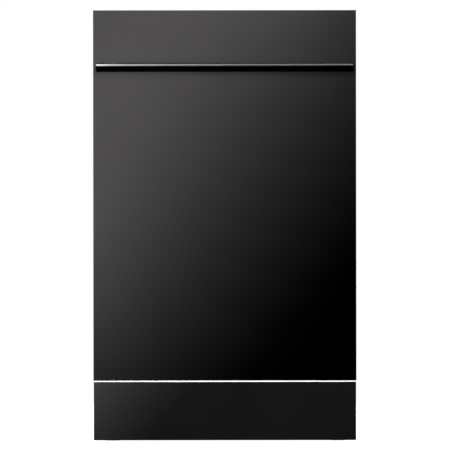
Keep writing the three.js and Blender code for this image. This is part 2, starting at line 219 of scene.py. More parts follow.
def tint(shader, source, dark, light):
    """The source, from 0.3 to 0.7, drives the base colour from dark to light."""
    tree = shader.id_data
    ramp = add_node(tree, "ValToRGB")
    for stop, position, color in zip(ramp.color_ramp.elements, (0.3, 0.7), (dark, light)):
        stop.position = position
        stop.color = (*color, 1)
    tree.links.new(source, ramp.inputs["Fac"])
    tree.links.new(ramp.outputs["Color"], shader.inputs["Base Color"])


def bump(shader, source, strength, distance=0.0002):
    tree = shader.id_data
    node = add_node(tree, "Bump", Strength=strength, Distance=distance)
    tree.links.new(source, node.inputs["Height"])
    tree.links.new(node.outputs[0], shader.inputs["Normal"])


def coated(name, color, roughness, spread, mottle, grain, strength, distance=0.0002, specular=0.5):
    """An even coat: its roughness wanders over the spread in soft patches, under a fine grain."""
    shader = principled(name, color, roughness, specular=specular)
    vary(shader, noise(shader, mottle, 3), *spread)
    bump(shader, noise(shader, grain, 2), strength, distance)


def black_front():
    coated("black_front", (0.04, 0.0388, 0.0395), 0.517, (0.505, 0.53), 9, 900, 0.05)


def toe_kick_black():
    coated("toe_kick_black", (0.049, 0.049, 0.049), 0.6, (0.57, 0.64), 14, 700, 0.08)


def black_lip_painted_shade():
    # Painted shade: the grip is black, and its near-zero base colour and specular keep it black under every
    # lamp, standing in for the shade on its downturned front face.
    dark = (0.0003, 0.0003, 0.0003)
    coated("black_lip_painted_shade", dark, 0.7, (0.66, 0.78), 60, 1200, 0.06, 0.0001, specular=0.01)


def coated_wire():
    coated("coated_wire", (0.36, 0.38, 0.4), 0.35, (0.28, 0.42), 80, 400, 0.1)


def satin_trim():
    shader = principled("satin_trim", (0.8, 0.8, 0.79), 0.55, 0.15)
    grain = noise(shader, 60, 3, (1, 60, 60))
    vary(shader, grain, 0.5, 0.6)
    tint(shader, grain, (0.77, 0.77, 0.76), (0.83, 0.83, 0.82))


def stainless():
    shader = principled("stainless", (0.6, 0.61, 0.62), 0.32, 1.0)
    grain = noise(shader, 22, 6, (1, 1, 90))
    vary(shader, grain, 0.27, 0.38)
    tint(shader, grain, (0.58, 0.59, 0.6), (0.65, 0.66, 0.67))
    bump(shader, grain, 0.05)


def galvanised():
    """Zinc spangle: small cells of slightly different grey and gloss over broad faint stains."""
    shader = principled("galvanised", (0.5, 0.52, 0.53), 0.45, 0.75)
    tree = shader.id_data
    coords = add_node(tree, "TexCoord")
    cells = add_node(tree, "TexVoronoi", Scale=210)
    tree.links.new(coords.outputs["Object"], cells.inputs["Vector"])
    grey = add_node(tree, "SeparateColor")
    tree.links.new(cells.outputs["Color"], grey.inputs[0])
    blend = add_node(tree, "Mix", Factor=0.4)
    tree.links.new(noise(shader, 5), blend.inputs["A"])
    tree.links.new(grey.outputs[0], blend.inputs["B"])
    vary(shader, grey.outputs[0], 0.44, 0.5)
    tint(shader, blend.outputs["Result"], (0.41, 0.425, 0.435), (0.51, 0.525, 0.535))


def zinc_steel():
    shader = principled("zinc_steel", (0.5, 0.51, 0.52), 0.38, 1.0)
    blotch = noise(shader, 60)
    vary(shader, blotch, 0.3, 0.48)
    tint(shader, blotch, (0.42, 0.43, 0.43), (0.58, 0.59, 0.6))


def black_gloss():
    shader = principled("black_gloss", (0.006, 0.006, 0.007), 0.08)
    vary(shader, noise(shader, 40, 2), 0.05, 0.12)


def moulded(name, color, roughness, grain=500):
    shader = principled(name, color, roughness)
    vary(shader, noise(shader, 25, 3), roughness - 0.05, roughness + 0.06)
    tint(shader, noise(shader, 8, 3), [0.93 * c for c in color], color)
    bump(shader, noise(shader, grain, 2), 0.12)


MOULDED = {
    "black_plastic": ((0.02, 0.02, 0.021), 0.55),
    "grey_plastic": ((0.2, 0.215, 0.23), 0.45),
    "light_grey_plastic": ((0.42, 0.44, 0.46), 0.45),
    "white_plastic": ((0.8, 0.81, 0.8), 0.4),
    "rubber": ((0.03, 0.03, 0.031), 0.7, 300),
    "felt": ((0.035, 0.03, 0.026), 0.9, 200),
}


def make_materials():
    black_gloss()
    black_front()
    toe_kick_black()
    black_lip_painted_shade()
    satin_trim()
    stainless()
    galvanised()
    zinc_steel()
    coated_wire()
    for name, finish in MOULDED.items():
        moulded(name, *finish)


def both(*stems):
    """The left and the right name of each of these pairs."""
    return [f"{stem}_{word}" for stem in stems for word in ("left", "right")]


# The CAD nodes that stay in view, by the material they wear.
NODE_MATERIALS = {
    "black_front": ["door_front_panel"],
    "toe_kick_black": ["toe_kick_panel"],
    "black_lip_painted_shade": ["handle_bar"],
    "satin_trim": ["handle_trim"],
    "stainless": ["tub_floor", "tub_front_frame", *both("rail_channel", "rail_slider")],
    "galvanised": [*both("side_panel"), "rear_panel", "top_plate"],
    "zinc_steel": [*both("hinge_bracket", "hinge_arm"), "latch_hook"],
    "black_plastic": ["base_tray", "sump", "circulation_pump", "drain_spigot", "control_strip"],
    "grey_plastic": ["detergent_lid", "filter_cylinder", "spray_feed_tube"],
    "light_grey_plastic": ["power_button", "program_button", "start_button", "dispenser_body"],
    "white_plastic": ["water_softener", "inlet_valve", "rinse_aid_cap", "toe_kick_seal"],
    "felt": ["door_insulation"],
}


def dress_nodes():
    for key, names in NODE_MATERIALS.items():
        for name in names:
            node = NODES[name]
            node.data.materials.clear()
            node.data.materials.append(MATERIALS[key])


# ---------- building blocks ----------
def box_in(bm, low, high, place=Matrix()):
    """A box from its low to its high corner, then moved and turned by place."""
    corners = [bm.verts.new(place @ Vector((x, y, z))) for x in (low[0], high[0])
               for y in (low[1], high[1]) for z in (low[2], high[2])]
    for loop in ((0, 1, 3, 2), (4, 6, 7, 5), (0, 4, 5, 1), (2, 3, 7, 6), (0, 2, 6, 4), (1, 5, 7, 3)):
        bm.faces.new([corners[i] for i in loop])


# Each axis to turn about, with the direction a turn starts from.
AXES = {"X": ((1, 0, 0), (0, 1, 0)), "Y": ((0, 1, 0), (1, 0, 0)), "Z": ((0, 0, 1), (1, 0, 0))}


def skin(bm, rows, ring=False, loop=False):
    """Joins rows of points with quads; ring closes each row, loop joins the last row to the first."""
    count = len(rows[0])
    for here, there in zip(rows, rows[1:] + rows[:1] if loop else rows[1:]):
        for i in range(count if ring else count - 1):
            j = (i + 1) % count
            bm.faces.new([here[i], here[j], there[j], there[i]])


def turned(bm, profile, centre, axis="Z", sides=28):
    """A closed ring of (radius, height) points turned about an axis through centre."""
    along, out = map(Vector, AXES[axis])
    centre = Vector(centre)
    rings = []
    for step in range(sides):
        spoke = out.copy()
        spoke.rotate(Matrix.Rotation(math.tau * step / sides, 3, along))
        rings.append([bm.verts.new(centre + spoke * radius + along * height) for radius, height in profile])
    skin(bm, rings, ring=True, loop=True)


def disc(bm, radius, low, high, centre, axis, sides, edge=0.0006):
    """A turned disc from low to high along the axis, with broken edges."""
    core = 0.0006
    profile = [(core, low), (radius - edge, low), (radius, low + edge), (radius, high - edge),
               (radius - edge, high), (core, high)]
    turned(bm, profile, centre, axis, sides)


def tube(bm, inner, outer, low, high, centre, axis, sides):
    """A plain turned ring."""
    turned(bm, [(inner, low), (outer, low), (outer, high), (inner, high)], centre, axis, sides)


def prism(bm, outline, place, start, end):
    """An outline of 2D points; place(u, v, w) gives the 3D point, and w runs from start to end."""
    low = [bm.verts.new(place(u, v, start)) for u, v in outline]
    high = [bm.verts.new(place(u, v, end)) for u, v in outline]
    bm.faces.new(low)
    bm.faces.new(high)
    skin(bm, [low, high], ring=True)


def along_y(side=1, x=0):
    """Stands an X-Z outline on the right (1) or mirrors it to the left (-1), drawn out along Y."""
    return lambda u, v, w: (x + side * u, w, v)


def along_x(side=1, y=0):
    """Stands a Y-Z outline up, drawn out along X to the right (1) or to the left (-1)."""
    return lambda u, v, w: (side * w, y + u, v)


SHARP_ANGLE = math.radians(35)
BEVEL_ANGLE = math.radians(30)


def piece(name, bm, material, body, replaces=(), edge=0.0, segments=2):
    """Makes a piece of a mesh and lets it ride on a body."""
    bmesh.ops.remove_doubles(bm, verts=bm.verts, dist=1e-6)
    bmesh.ops.recalc_face_normals(bm, faces=bm.faces)
    mesh = bpy.data.meshes.new(name)
    bm.to_mesh(mesh)
    bm.free()
    mesh.polygons.foreach_set("use_smooth", [True] * len(mesh.polygons))
    mesh.set_sharp_from_angle(angle=SHARP_ANGLE)
    mesh.materials.append(MATERIALS[material])
    obj = bpy.data.objects.new(name, mesh)
    if edge:
        soften(obj, edge, segments)
    return carried(obj, body, replaces)


def carried(obj, body, replaces):
    bpy.context.scene.collection.objects.link(obj)
    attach(obj, body)
    if replaces:
        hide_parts(*replaces)
    return obj


def soften(obj, width, segments=2):
    modifier = obj.modifiers.new("soft_edges", "BEVEL")
    modifier.width = width
    modifier.segments = segments
    modifier.limit_method = "ANGLE"
    modifier.angle_limit = BEVEL_ANGLE


def soften_nodes():
    """Breaks the edges of the CAD nodes that stay in view."""
    widths = {"door_front_panel": 0.0005, "handle_bar": 0.0006, "handle_trim": 0.0002}
    for name in (*NODE_MATERIALS["galvanised"], "tub_front_frame", "tub_floor"):
        widths[name] = 0.0004
    for name in both("hinge_arm", "hinge_bracket", "rail_channel", "rail_slider"):
        widths[name] = 0.0005
    for name, width in widths.items():
        soften(NODES[name], width)
    mouldings = ["latch_hook"]
    for plastic in ("black_plastic", "grey_plastic", "light_grey_plastic", "white_plastic"):
        mouldings += NODE_MATERIALS[plastic]
    for name in mouldings:
        soften(NODES[name], 0.0008, 3)


def sheet(obj, thickness, offset=0):
    """Gives an open surface the thickness of sheet metal."""
    modifier = obj.modifiers.new("sheet", "SOLIDIFY")
    modifier.thickness = thickness
    modifier.offset = offset


def rounded(points, radius, closed=False, steps=4):
    """The path with each corner turned into a short curve."""
    points = [Vector(p) for p in points]
    count = len(points)
    path = []
    for i, corner in enumerate(points):
        if not closed and i in (0, count - 1):
            path.append(corner)
            continue
        before, after = points[i - 1] - corner, points[(i + 1) % count] - corner
        reach = min(radius, before.length * 0.45, after.length * 0.45)
        a, b = corner + before.normalized() * reach, corner + after.normalized() * reach
        for k in range(steps + 1):
            t = k / steps
            path.append(a * (1 - t) ** 2 + corner * 2 * t * (1 - t) + b * t * t)
    return path


def wires(name, paths, radius, body, replaces=(), material="coated_wire"):
    """Round wires along paths of (points, closed), as one piece."""
    curve = bpy.data.curves.new(name, "CURVE")
    curve.dimensions = "3D"
    curve.bevel_depth = radius
    curve.bevel_resolution = 2
    curve.use_fill_caps = True
    for points, closed in paths:
        spline = curve.splines.new("POLY")
        spline.points.add(len(points) - 1)
        for target, point in zip(spline.points, points):
            target.co = (*point, 1)
        spline.use_cyclic_u = closed
    curve.materials.append(MATERIALS[material])
    return carried(bpy.data.objects.new(name, curve), body, replaces)


def spaced(low, high, count):
    return [low + (high - low) * i / (count - 1) for i in range(count)]


# Places and names that several pieces share.
SIDES = ((-1, "left"), (1, "right"))
SUMP_AT = (0.07, -0.06)
SALT_AT = (-0.15, -0.06)
SPRAY_AT = (0, 0.03)
WHEEL_Z = 0.1924
RACK_WHEELS = [(side, y, f"{end}_{word}")
               for side, word in SIDES for y, end in ((-0.1, "front"), (0.1, "rear"))]
FEET = [(f"foot_{end}_{word}", side * 0.235, y)
        for y, end in ((-0.18, "front"), (0.25, "rear")) for side, word in SIDES]


# ---------- racks ----------
def rim(half, depth, z):
    points = [(-half, -depth, z), (half, -depth, z), (half, depth, z), (-half, depth, z)]
    return rounded(points, 0.03, closed=True), True


def tine_loops(xs, ys, low, high, lean):
    """Rows of upright wire loops, each leaning back a little."""
    paths = []
    for x in xs:
        for y in ys:
            points = [(x, y - 0.006, low), (x, y - 0.003 + lean, high), (x, y + 0.003 + lean, high),
                      (x, y + 0.006, low)]
            paths.append((rounded(points, 0.004, steps=3), False))
    return paths


def basket(name, top, middle, floor, tines):
    """Three heavy rims, light wires slung between them both ways, and the tines."""
    half, depth, taper = 0.219, 0.202, 0.016
    heavy = [rim(half, depth, top), rim(0.214, 0.197, middle), rim(0.205, 0.188, floor)]
    wires(name + "_rims", heavy, 0.0024, name, [name])
    slung = []
    for y in spaced(-0.175, 0.175, 13):
        low = half - taper
        slung.append([(-half, y, top), (-low, y, floor), (low, y, floor), (half, y, top)])
    for x in spaced(-0.19, 0.19, 14):
        low = depth - taper
        slung.append([(x, -depth, top), (x, -low, floor), (x, low, floor), (x, depth, top)])
    light = [(rounded(points, 0.02), False) for points in slung]
    wires(name + "_wires", light, 0.0015, name)
    wires(name + "_tines", tines, 0.0014, name)


def rack_grip(body, z):
    """The moulded grip in the middle of the front rim, with a finger hollow."""
    bm = bmesh.new()
    half, front, back = 0.055, -0.2065, -0.1965
    outline = [(-half, z - 0.014), (half, z - 0.014), (half + 0.006, z + 0.004), (half - 0.004, z + 0.012),
               (0.03, z + 0.006), (-0.03, z + 0.006), (-half + 0.004, z + 0.012), (-half - 0.006, z + 0.004)]
    prism(bm, outline, along_y(), front, back)
    piece(body + "_grip", bm, "grey_plastic", body, edge=0.002, segments=3)


def upper_rack():
    tines = tine_loops((0.03, 0.085, 0.14), spaced(-0.15, 0.16, 12), 0.5085, 0.565, 0.006)
    basket("upper_rack", 0.622, 0.572, 0.5085, tines)
    rack_grip("upper_rack", 0.621)
    for side, word in SIDES:
        bm = bmesh.new()
        outline = [(0.221, 0.563), (0.2296, 0.563), (0.2296, 0.567), (0.2245, 0.567), (0.2245, 0.579),
                   (0.2296, 0.579), (0.2296, 0.583), (0.221, 0.583)]
        prism(bm, outline, along_y(side), -0.205, 0.205)
        piece(f"rack_runner_{word}", bm, "stainless", "upper_rack", edge=0.0004)
        bm = bmesh.new()
        outline = [(-0.05, 0.548), (0.07, 0.548), (0.078, 0.562), (0.078, 0.592), (0.062, 0.606),
                   (-0.042, 0.606), (-0.058, 0.592), (-0.058, 0.562)]
        prism(bm, outline, along_x(side), 0.2125, 0.2205)
        piece(f"rack_adjuster_{word}", bm, "light_grey_plastic", "upper_rack", edge=0.0015, segments=3)
        bm = bmesh.new()
        box_in(bm, (side * 0.2125 - 0.004, -0.03, 0.568), (side * 0.2125 + 0.004, 0.05, 0.584))
        piece(f"rack_lever_{word}", bm, "grey_plastic", "upper_rack", edge=0.003, segments=3)
    spray_carrier()


def spray_carrier():
    """The duct under the upper rack that feeds the middle spray arm, with its pivot."""
    x, y = SPRAY_AT
    bm = bmesh.new()
    outline = [(-0.013, 0.494), (-0.008, 0.4905), (0.008, 0.4905), (0.013, 0.494), (0.013, 0.502),
               (0.008, 0.506), (-0.008, 0.506), (-0.013, 0.502)]
    prism(bm, outline, along_y(1, x), y, 0.2)
    turned(bm, [(0.003, 0.196), (0.0076, 0.196), (0.0082, 0.203), (0.0082, 0.212), (0.006, 0.212),
                (0.006, 0.206), (0.003, 0.206)], (x, 0, 0.498), "Y")
    piece("rack_spray_duct", bm, "grey_plastic", "upper_rack", edge=0.001)
    bm = bmesh.new()
    turned(bm, [(0.001, 0.507), (0.022, 0.507), (0.022, 0.4935), (0.019, 0.4905), (0.0054, 0.4905),
                (0.0054, 0.4752), (0.012, 0.4752), (0.0135, 0.4738), (0.0135, 0.4722), (0.011, 0.4705),
                (0.001, 0.4705)], (x, y, 0))
    piece("rack_spray_pivot", bm, "grey_plastic", "upper_rack")


def lower_rack():
    right = tine_loops((0.035, 0.08, 0.125, 0.17), spaced(-0.155, 0.165, 13), 0.2385, 0.312, 0.01)
    left = [loop for y in (-0.14, -0.075, -0.01) for loop in tine_row_loops(y, 0.2385, 0.312)]
    basket("lower_rack", 0.347, 0.292, 0.2385, right + left)
    rack_grip("lower_rack", 0.346)
    carrier = [(-0.007, 0.187), (0.007, 0.187), (0.011, 0.205), (0.02, 0.246), (-0.02, 0.246),
               (-0.011, 0.205)]
    axle = [(0.0008, 0.2185), (0.0036, 0.2185), (0.0036, 0.2325), (0.0062, 0.2328), (0.0055, 0.2345),
            (0.0008, 0.235)]
    for side, y, corner in RACK_WHEELS:
        bm = bmesh.new()
        prism(bm, carrier, along_x(side, y), 0.2125, 0.2195)
        piece("wheel_carrier_" + corner, bm, "grey_plastic", "lower_rack", edge=0.0012, segments=3)
        bm = bmesh.new()
        turned(bm, [(r, side * h) for r, h in axle], (0, y, WHEEL_Z), "X", 16)
        piece("wheel_axle_" + corner, bm, "grey_plastic", "lower_rack")


def tine_row_loops(y, low, high):
    """A row of upright loops across the left half of the lower rack."""
    paths = []
    for x in spaced(-0.195, -0.02, 6):
        points = [(x - 0.005, y, low), (x - 0.002, y, high), (x + 0.002, y, high), (x + 0.005, y, low)]
        paths.append((rounded(points, 0.004, steps=3), False))
    return paths


def folding_tines():
    y, low, high = 0.06, 0.245, 0.3235
    paths = tine_row_loops(y, low, high)
    paths.append(([(-0.2, y, low), (-0.01, y, low)], False))
    wires("folding_tines", paths, 0.0016, "tine_row", ["tine_row"])
    bm = bmesh.new()
    for x in (-0.18, -0.035):
        tube(bm, 0.0016, 0.0036, x - 0.006, x + 0.006, (0, y, low), "X", 14)
    piece("folding_tine_clips", bm, "light_grey_plastic", "tine_row")


def rack_wheels():
    tyre = [(0.0105, 0.2222), (0.0132, 0.2222), (0.014, 0.2232), (0.014, 0.2298), (0.0132, 0.2308),
            (0.0105, 0.2308)]
    spokes = 5
    for side, y, corner in RACK_WHEELS:
        centre = (0, y, WHEEL_Z)
        bm = bmesh.new()
        turned(bm, [(r, side * h) for r, h in tyre], centre, "X", 36)
        tube(bm, 0.0042, 0.0068, side * 0.222, side * 0.231, centre, "X", 36)
        for step in range(spokes):
            turn = Matrix.Rotation(math.tau * step / spokes, 4, "X")
            place = Matrix.Translation(centre) @ turn @ Matrix.Diagonal((side, 1, 1, 1))
            box_in(bm, (0.224, -0.0012, 0.006), (0.229, 0.0012, 0.011), place)
        name = "wheel_" + corner
        piece(name + "_detail", bm, "light_grey_plastic", name, [name], edge=0.0003)


def cup_shelf():
    z, left, middle, right, end = 0.634, -0.221, -0.178, -0.133, 0.178
    frame_path = [(left, -end, z), (right, -end, z), (right, end, z), (left, end, z)]
    paths = [(rounded(frame_path, 0.014, closed=True), True)]
    for y in spaced(-0.155, 0.155, 13):
        paths.append(([(left, y, z), (right, y, z)], False))
    paths.append(([(middle, -end, z), (middle, end, z)], False))
    wires("cup_shelf_wires", paths, 0.0017, "cup_shelf", ["cup_shelf"])
    bm = bmesh.new()
    outline = [(right - 0.005, z - 0.0028), (right + 0.001, z - 0.0028), (right + 0.001, z + 0.0026),
               (right - 0.005, z + 0.0026)]
    prism(bm, outline, along_y(), -0.15, 0.15)
    piece("cup_shelf_lip", bm, "light_grey_plastic", "cup_shelf", edge=0.0012, segments=3)
    bm = bmesh.new()
    for y in (-0.12, 0.12):
        tube(bm, 0.0012, 0.0038, y - 0.009, y + 0.009, (-0.2195, 0, z), "Y", 16)
    piece("cup_shelf_clips", bm, "light_grey_plastic", "cup_shelf")


def cutlery_tray():
    """A shallow moulded tray: a frame, three dividers, combs that hold cutlery and an open floor."""
    half, front, back, low, high = 0.222, -0.205, 0.2, 0.776, 0.818
    wall, tuck = 0.003, 0.0002
    bm = bmesh.new()
    box_in(bm, (-half, front, low), (half, front + wall, high))
    box_in(bm, (-half, back - wall, low), (half, back, high))
    for side in (-1, 1):
        inner, outer = sorted((side * (half - tuck), side * (half - wall)))
        box_in(bm, (inner, front + tuck, low + tuck), (outer, back - tuck, high - tuck))
        inner, outer = sorted((side * (half - 0.001), side * 0.236))
        box_in(bm, (inner, front + tuck, low + 2 * tuck), (outer, back - tuck, low + 0.004))
    for x in (-0.145, 0, 0.145):
        box_in(bm, (x - 0.0015, front + tuck, low + tuck), (x + 0.0015, back - tuck, 0.806))
    piece("cutlery_tray_frame", bm, "light_grey_plastic", "cutlery_tray", ["cutlery_tray"], edge=0.0008)
    bm = bmesh.new()
    for left, right in ((-0.219, -0.1465), (-0.1435, -0.0015), (0.0015, 0.1435), (0.1465, 0.219)):
        for y in spaced(-0.185, 0.18, 17):
            comb(bm, left, right, y, low + 0.003, 0.793)
        for x in spaced(left + 0.004, right - 0.004, 7 if right - left < 0.1 else 12):
            box_in(bm, (x - 0.0009, front + 0.002, low), (x + 0.0009, back - 0.002, low + 0.0025))
    piece("cutlery_tray_combs", bm, "grey_plastic", "cutlery_tray")
    rack_grip("cutlery_tray", 0.806)


def comb(bm, left, right, y, low, high):
    """A thin cross rib with notches."""
    teeth = max(3, round((right - left) / 0.013))
    pitch = (right - left) / teeth
    outline = [(left, low), (right, low)]
    for i in range(teeth, 0, -1):
        outline += [(left + i * pitch, high), (left + (i - 0.35) * pitch, high),
                    (left + (i - 0.5) * pitch, low + 0.004), (left + (i - 0.65) * pitch, high)]
    outline.append((left, high))
    prism(bm, outline, along_y(), y - 0.0007, y + 0.0007)


# ---------- spray arms ----------
def spray_arm(name, reach, width, low, high, hub, bore):
    """Two hollow-looking blades round a hub, the ends swept opposite ways, with raised jets on top."""
    middle, half_height, sides = (low + high) / 2, (high - low) / 2, 16
    at_x, at_y = SPRAY_AT

    def sweep(share):
        return 0.1 * width * math.sin(share * math.pi / 2)

    def thickness(share):
        return half_height * (1 - 0.35 * share ** 3)

    bm = bmesh.new()
    rings = []
    for x in spaced(-reach, reach, 41):
        share = abs(x) / reach
        half = width / 2 * math.sqrt(max(0.0, 1 - share ** 6)) * (1.12 - 0.32 * share) + 0.0015
        y = at_y + sweep(share) * (1 if x > 0 else -1)
        ring = []
        for step in range(sides):
            angle = math.tau * step / sides
            u, v = math.cos(angle), math.sin(angle)
            u = math.copysign(abs(u) ** 0.8, u)
            v = math.copysign(abs(v) ** 0.6, v)
            ring.append(bm.verts.new((at_x + x, y + u * half, middle + v * thickness(share))))
        rings.append(ring)
    skin(bm, rings, ring=True)
    bm.faces.new(rings[0])
    bm.faces.new(rings[-1])
    piece(name + "_blade", bm, "grey_plastic", name, [name])
    bm = bmesh.new()
    turned(bm, [(bore, low - 0.0005), (hub, low - 0.0005), (hub + 0.001, low + 0.001),
                (hub + 0.001, high - 0.0005), (hub - 0.003, high + 0.001), (bore + 0.004, high + 0.001),
                (bore + 0.003, high), (bore, high)], (at_x, at_y, 0), "Z", 40)
    piece(name + "_hub", bm, "light_grey_plastic", name)
    jets = bmesh.new()
    for k, share in enumerate((0.3, 0.42, 0.55, 0.68, 0.8, 0.9)):
        aside = (0.16 if k % 2 else -0.16) * width
        top = middle + thickness(share)
        jet = [(0.0012, top - 0.002), (0.0042, top - 0.002), (0.0036, top + 0.0003),
               (0.0026, top + 0.0008), (0.0018, top - 0.0002), (0.0012, top - 0.0008)]
        for side in (-1, 1):
            turned(jets, jet, (at_x + side * share * reach, at_y + sweep(share) * side + aside, 0), "Z", 14)
    piece(name + "_jets", jets, "black_plastic", name)


# ---------- tub ----------
def tub_shell():
    """Sides and roof in one bent sheet, with pressed beads in the sides and rounded upper corners."""
    half, floor, roof, corner = 0.24, 0.1765, 0.846, 0.03
    rise = [(-half, z) for z in spaced(floor, roof - corner, 44)]
    for angle in spaced(math.pi, math.pi / 2, 7)[1:]:
        rise.append((-half + corner + corner * math.cos(angle), roof - corner + corner * math.sin(angle)))
    across = [(x, roof) for x in spaced(-half + corner, half - corner, 15)[1:-1]]
    profile = rise + across + [(-x, z) for x, z in reversed(rise)]
    bm = bmesh.new()
    rows = []
    for y in spaced(-0.2205, 0.235, 33):
        row = []
        for x, z in profile:
            inward = bead(y, z) if abs(x) == half else 0
            row.append(bm.verts.new((x - math.copysign(inward, x), y, z)))
        rows.append(row)
    skin(bm, rows)
    sheet(piece("tub_shell", bm, "stainless", "carcass", ["tub_wrapper"]), 0.0009, 1)
    for side, word in SIDES:
        bm = bmesh.new()
        low, high = sorted((side * 0.2295, side * 0.2405))
        box_in(bm, (low, -0.214, 0.768), (high, 0.214, 0.772))
        piece(f"tray_ledge_{word}", bm, "grey_plastic", "carcass", edge=0.0012, segments=3)


def bead(y, z):
    """How far the side stands in: three long pressed beads, flat near the rails and the front."""
    depth = 0
    for middle in (0.3, 0.4, 0.68):
        across = max(0.0, 1 - ((z - middle) / 0.028) ** 2)
        along = max(0.0, 1 - (abs(y - 0.01) / 0.19) ** 8)
        depth = max(depth, across * along)
    return 0.0024 * depth


LINER_HALF, LINER_LOW, LINER_HIGH = 0.252, 0.140, 0.882
LINER_HOLES = ((0.087, 0.489, 0.631), (0.009, 0.858, 0.8808))


def door_liner():
    """Pressed inner face of the door: a shallow field inside a raised border, with returned edges."""
    face, back = -0.225, -0.2626
    (wide, low, high), (narrow, under, over) = LINER_HOLES
    xs = grid_lines(-LINER_HALF, LINER_HALF, 57, [-wide, -narrow, narrow, wide])
    zs = grid_lines(LINER_LOW, LINER_HIGH, 75, [low, high, under, over])
    bm = bmesh.new()
    grid = {(i, k): bm.verts.new((x, face - liner_relief(x, z), z))
            for i, x in enumerate(xs) for k, z in enumerate(zs)}
    for i in range(len(xs) - 1):
        for k in range(len(zs) - 1):
            x, z = (xs[i] + xs[i + 1]) / 2, (zs[k] + zs[k + 1]) / 2
            if not any(abs(x) < half and bottom < z < top for half, bottom, top in LINER_HOLES):
                bm.faces.new([grid[i, k], grid[i + 1, k], grid[i + 1, k + 1], grid[i, k + 1]])
    last_x, last_z = len(xs) - 1, len(zs) - 1
    edge = [(i, 0) for i in range(last_x)] + [(last_x, k) for k in range(last_z)]
    edge += [(i, last_z) for i in range(last_x, 0, -1)] + [(0, k) for k in range(last_z, 0, -1)]
    rows = [[grid[key] for key in edge]]
    rows.append([bm.verts.new((vert.co.x, back, vert.co.z)) for vert in rows[0]])
    skin(bm, rows, ring=True)
    liner = piece("door_liner", bm, "stainless", "door", ["door_inner_liner"], edge=0.002, segments=3)
    liner.modifiers["soft_edges"].angle_limit = math.radians(60)
    sheet(liner, 0.0008, -1)


def grid_lines(low, high, count, exact):
    """Evenly spaced values, with those close to an exact one left out for it."""
    pitch = (high - low) / (count - 1)
    even = [value for value in spaced(low, high, count) if all(abs(value - e) > 0.45 * pitch for e in exact)]
    return sorted(even + [e for e in exact if e not in even])


def liner_relief(x, z):
    """Depth of the pressed field, 0 on the border and around the dispenser."""
    border = min(LINER_HALF - abs(x) - 0.022, z - LINER_LOW - 0.045, LINER_HIGH - z - 0.04)
    around = max(abs(x) - 0.1, abs(z - 0.56) - 0.086)
    rib = max(0.0, 1 - (abs(abs(z - 0.36) - 0.05) / 0.012) ** 2) if abs(x) < 0.17 else 0
    field = 0.0035 * smooth(border / 0.014) * smooth(around / 0.012)
    return field - 0.0018 * rib * smooth((0.17 - abs(x)) / 0.02)


def door_gasket():
    """A hollow bulb with a lip, run round the mouth of the tub."""
    section = [(0, 0.0), (0.0078, 0.0), (0.0078, 0.0006), (0.006, 0.0012), (0.0064, 0.0022), (0.0045, 0.0024),
               (0.0025, 0.0021), (0.0016, 0.0013), (0, 0.0008)]
    half, low, high, face = 0.2412, 0.1742, 0.8468, -0.2223
    path = rounded([(-half, 0, low), (half, 0, low), (half, 0, high), (-half, 0, high)], 0.012, True, 6)
    centre = Vector((0, 0, (low + high) / 2))
    bm = bmesh.new()
    rings = []
    for i, point in enumerate(path):
        tangent = (path[(i + 1) % len(path)] - path[i - 1]).normalized()
        outward = tangent.cross(Vector((0, 1, 0)))
        if outward.dot(point - centre) < 0:
            outward = -outward
        rings.append([bm.verts.new(point + outward * u + Vector((0, face - v, 0))) for u, v in section])
    skin(bm, rings, ring=True, loop=True)
    piece("door_gasket", bm, "rubber", "carcass", ["door_seal"])


def flat_filter_plate():
    """The plate round the filter: a dished ring pierced by small round holes, with a rolled rim."""
    centre = Vector((*SUMP_AT, 0))
    radii, sectors, hole = spaced(0.0375, 0.0705, 9), 72, 0.0011
    bottom, dish, innermost, width = 0.1783, 0.0006, 0.035, 0.039

    def point(radius, angle):
        height = bottom + dish * (radius - innermost) / width
        return centre + Vector((radius * math.cos(angle), radius * math.sin(angle), height))

    bm = bmesh.new()
    for inner, outer in zip(radii, radii[1:]):
        for k in range(sectors):
            low, high = math.tau * k / sectors, math.tau * (k + 1) / sectors
            middle, mid_angle = (inner + outer) / 2, (low + high) / 2
            border = [(outer, low), (outer, mid_angle), (outer, high), (middle, high), (inner, high),
                      (inner, mid_angle), (inner, low), (middle, low)]
            border = [bm.verts.new(point(radius, angle)) for radius, angle in border]
            ring = []
            for step in range(len(border)):
                turn = (3 - step) * math.pi / 4
                along, out = hole * math.cos(turn), hole * math.sin(turn)
                ring.append(bm.verts.new(point(middle + out, mid_angle + along / middle)))
            skin(bm, [border, ring], ring=True)
    sheet(piece("filter_plate", bm, "stainless", "carcass", ["flat_filter"]), 0.0006)
    bm = bmesh.new()
    turned(bm, [(0.0702, 0.1782), (0.0735, 0.1782), (0.0742, 0.1788), (0.0735, 0.1796), (0.0702, 0.179)],
           centre, "Z", 56)
    turned(bm, [(0.0352, 0.1781), (0.0378, 0.1781), (0.0378, 0.1788), (0.0352, 0.1792)], centre, "Z", 48)
    piece("filter_plate_rims", bm, "stainless", "carcass")


def filter_grip():
    """The lattice inside the filter's rim and the ribbed handle across it."""
    bm = bmesh.new()
    x, y = SUMP_AT
    spokes = 18
    for step in range(spokes):
        turn = Matrix.Rotation(math.tau * step / spokes, 4, "Z")
        box_in(bm, (0.009, -0.0007, 0.184), (0.031, 0.0007, 0.1868), Matrix.Translation((x, y, 0)) @ turn)
    tube(bm, 0.0195, 0.0207, 0.1842, 0.187, (x, y, 0), "Z", 36)
    piece("filter_lattice", bm, "light_grey_plastic", "filter_cylinder")
    bm = bmesh.new()
    for offset in spaced(-0.02, 0.02, 9):
        box_in(bm, (x + offset - 0.0012, y - 0.0052, 0.186), (x + offset + 0.0012, y + 0.0052, 0.1935))
    piece("filter_grip_ribs", bm, "light_grey_plastic", "filter_cylinder", edge=0.0004)


